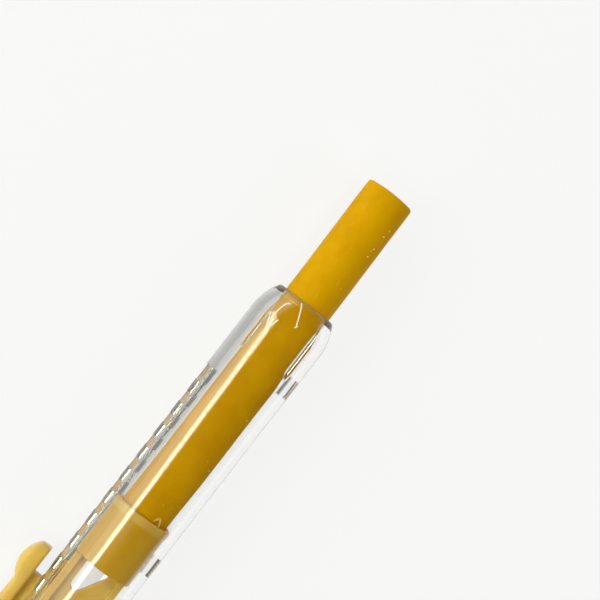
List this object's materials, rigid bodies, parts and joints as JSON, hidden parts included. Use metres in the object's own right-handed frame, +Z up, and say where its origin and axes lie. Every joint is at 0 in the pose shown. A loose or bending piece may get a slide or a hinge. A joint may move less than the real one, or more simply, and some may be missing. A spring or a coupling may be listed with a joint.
{
  "type": "retractable eraser stick",
  "caption": "Round eraser refill in a clear barrel, pushed out of the mouth by a slide whose thumb clip clicks along a notched slot.",
  "frame": {"origin": "on the axis of the barrel, at the centre of the flat tail end face", "axes": "+X along the barrel towards the eraser's tip, +Z up from the table that the stick lies on, so the clip points to +Y and a little down, and its lobe touches the table"},
  "size_m": [0.1216, 0.0144, 0.0108],
  "materials": {
    "clear_barrel": "gloss, clear",
    "slide_plastic": "satin, translucent",
    "eraser_rubber": "matte"
  },
  "bodies": {
    "barrel": {"barrel": "clear_barrel", "tail_plug": "slide_plastic"},
    "slide": {"slide": "slide_plastic", "click_tongue": "slide_plastic"},
    "refill": {"eraser": "eraser_rubber"}
  },
  "joints": [
    {"name": "slide_travel", "type": "slide", "parent": "barrel", "child": "slide", "axis": [1, 0, 0], "range_m": [-0.0315, 0.021], "deforming": ["click_tongue"]},
    {"name": "refill_pull", "type": "slide", "parent": "slide", "child": "refill", "axis": [1, 0, 0], "range_m": [0, 0.008]}
  ]
}
